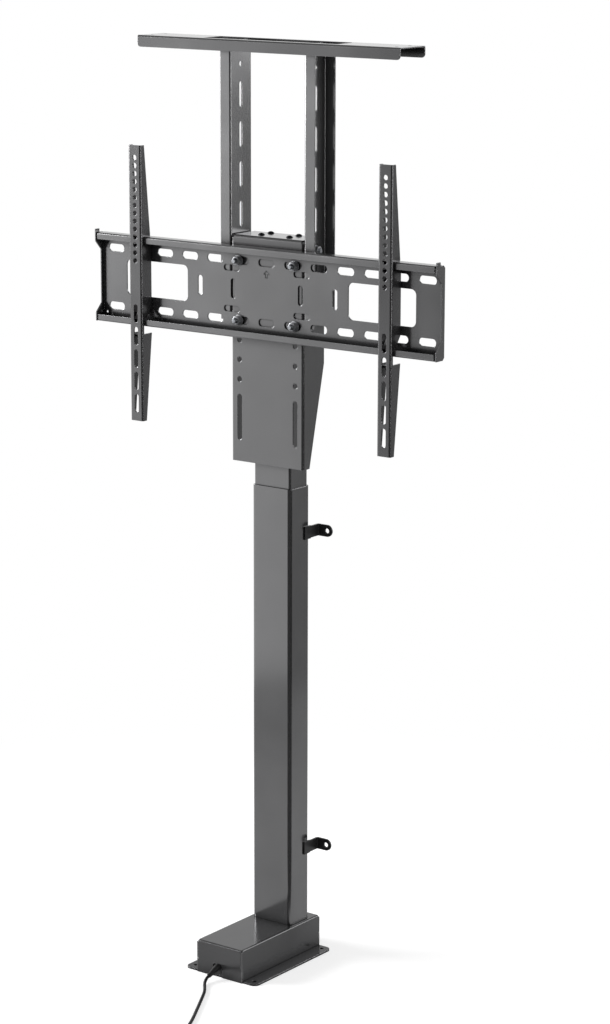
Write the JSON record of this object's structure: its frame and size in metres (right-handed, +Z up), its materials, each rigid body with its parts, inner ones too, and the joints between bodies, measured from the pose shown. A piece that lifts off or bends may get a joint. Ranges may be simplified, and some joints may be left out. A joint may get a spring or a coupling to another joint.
{
  "type": "tv lift mechanism",
  "caption": "Floor-standing motorised TV lift: a telescoping column on a covered base, with a slotted TV plate, sliding hook-on arms and a lid bar on two uprights.",
  "frame": {"origin": "on the floor, at the centre of the four fixing holes in the base plate's underside", "axes": "+Z up along the column, +X to the right along the TV plate as seen from its front, -Y towards the TV and the viewer"},
  "size_m": [0.658, 0.616, 1.462],
  "materials": {
    "base_sheet": "dark grey powder coat, satin",
    "cover_sheet": "dark grey powder coat, satin",
    "column_steel": "dark grey powder coat, satin",
    "strap_steel": "near-black powder coat, satin",
    "head_sheet": "dark grey powder coat, satin",
    "plate_sheet": "dark grey powder coat, satin",
    "arm_sheet": "dark grey powder coat, satin",
    "frame_sheet": "dark grey powder coat, satin",
    "black_screws": "black oxide steel",
    "zinc_fasteners": "zinc plated steel",
    "turned_steel": "turned steel, oiled",
    "wheel_bronze": "hobbed bronze",
    "cast_housing": "die-cast aluminium, bare",
    "motor_can": "black painted steel can",
    "black_plastic": "moulded acetal, matt",
    "nut_plastic": "natural acetal, matt",
    "rubber_grommet": "moulded black rubber",
    "cable_jacket": "black vinyl jacket, satin",
    "connector_plastic": "moulded black plastic"
  },
  "bodies": {
    "base": {"base_plate": "base_sheet", "base_cover": "cover_sheet", "cover_screws": "black_screws", "gearbox_housing": "cast_housing", "gearbox_lid": "cast_housing", "gearbox_bolts": "zinc_fasteners", "drive_motor": "motor_can", "spindle_bearing": "turned_steel", "outer_tube": "column_steel", "tube_screws": "zinc_fasteners", "mouth_glide": "black_plastic", "strap_upper_left": "strap_steel", "strap_upper_right": "strap_steel", "strap_lower_left": "strap_steel", "strap_lower_right": "strap_steel", "strain_relief": "rubber_grommet", "motor_cable": "cable_jacket", "cable_coil": "cable_jacket", "cable_tail": "cable_jacket", "connector": "connector_plastic"},
    "spindle": {"spindle": "turned_steel", "worm_wheel": "wheel_bronze", "spindle_stop": "turned_steel"},
    "worm": {"worm_shaft": "turned_steel"},
    "lift": {"inner_tube": "column_steel", "foot_glide": "black_plastic", "spindle_nut": "nut_plastic", "tube_plug": "column_steel", "head_bracket": "head_sheet", "head_screws": "black_screws", "wall_plate": "plate_sheet", "plate_bolts": "zinc_fasteners", "plate_washers": "zinc_fasteners", "plate_nuts": "zinc_fasteners", "upright_bolts": "zinc_fasteners", "upright_nuts": "zinc_fasteners"},
    "lid_frame": {"upright_left": "frame_sheet", "upright_right": "frame_sheet", "lid_bar": "frame_sheet"},
    "left_arm": {"arm_left": "arm_sheet", "lock_screw_left": "zinc_fasteners"},
    "right_arm": {"arm_right": "arm_sheet", "lock_screw_right": "zinc_fasteners"}
  },
  "joints": [
    {"name": "lift_slide", "type": "slide", "parent": "base", "child": "lift", "axis": [0, 0, 1], "range_m": [-0.38, 0]},
    {"name": "spindle_turn", "type": "hinge", "parent": "base", "child": "spindle", "pos_m": [0, 0.058, 0.05], "axis": [0, 0, 1], "range_deg": [-13690, 10]},
    {"name": "worm_turn", "type": "hinge", "parent": "base", "child": "worm", "pos_m": [-0.021, 0.058, 0.023], "axis": [0, 1, 0], "range_deg": [-136900, 100]},
    {"name": "lid_frame_slide", "type": "slide", "parent": "lift", "child": "lid_frame", "axis": [0, 0, 1], "range_m": [0, 0.03]},
    {"name": "arm_left_slide", "type": "slide", "parent": "lift", "child": "left_arm", "axis": [1, 0, 0], "range_m": [-0.06, 0.14]},
    {"name": "arm_right_slide", "type": "slide", "parent": "lift", "child": "right_arm", "axis": [1, 0, 0], "range_m": [-0.14, 0.06]}
  ],
  "couplings": [
    {"joint": "spindle_turn", "follows": "lift_slide", "rad_per_m": 628.32},
    {"joint": "worm_turn", "follows": "lift_slide", "rad_per_m": 6283.2}
  ]
}
